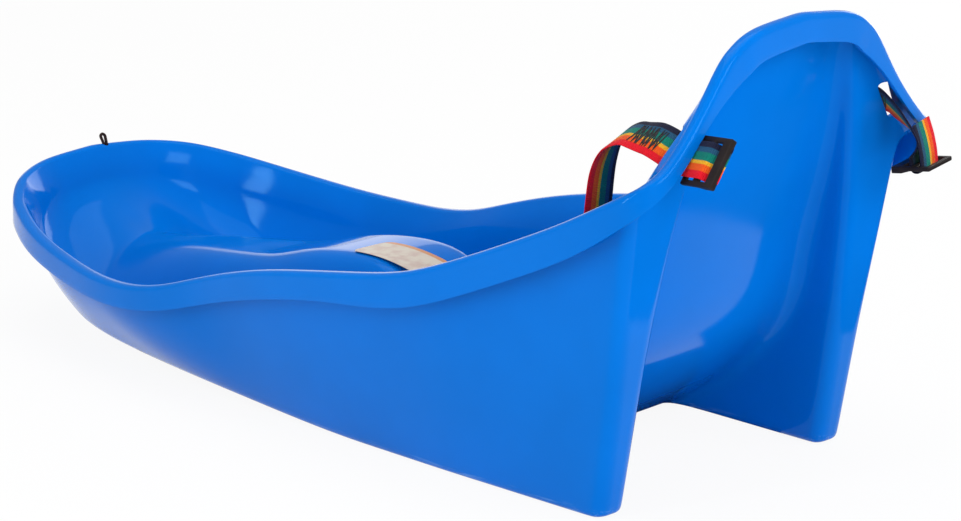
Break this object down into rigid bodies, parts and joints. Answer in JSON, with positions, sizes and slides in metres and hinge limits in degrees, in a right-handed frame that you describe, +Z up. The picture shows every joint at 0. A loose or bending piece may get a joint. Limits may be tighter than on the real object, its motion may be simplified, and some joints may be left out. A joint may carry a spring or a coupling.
{
  "type": "plastic sled",
  "caption": "Moulded plastic pull sled with a seat on two hollow heels, a two-part lap belt with buckle, and a wire eye at the nose.",
  "frame": {"origin": "on the ground under the middle of the whole sled's box", "axes": "+Z up, -Y towards the nose, +X to the side that the picture shows nearest"},
  "size_m": [0.3268, 0.7615, 0.3205],
  "materials": {
    "shell_plastic": "glossy moulded polyethylene",
    "webbing": "woven nylon with stripes along it",
    "clip_plastic": "black nylon",
    "eye_wire": "black coated wire"
  },
  "bodies": {
    "shell": {"sled_shell": "shell_plastic", "belt_left": "webbing", "belt_right": "webbing", "ladder_clip_left": "clip_plastic", "ladder_clip_right": "clip_plastic", "buckle_socket": "clip_plastic", "tow_eye": "eye_wire"},
    "plug": {"buckle_plug": "clip_plastic"}
  },
  "joints": [
    {"name": "buckle_release", "type": "slide", "parent": "shell", "child": "plug", "axis": [-1, 0, 0], "range_m": [0, 0.022], "deforming": ["belt_right"]}
  ]
}
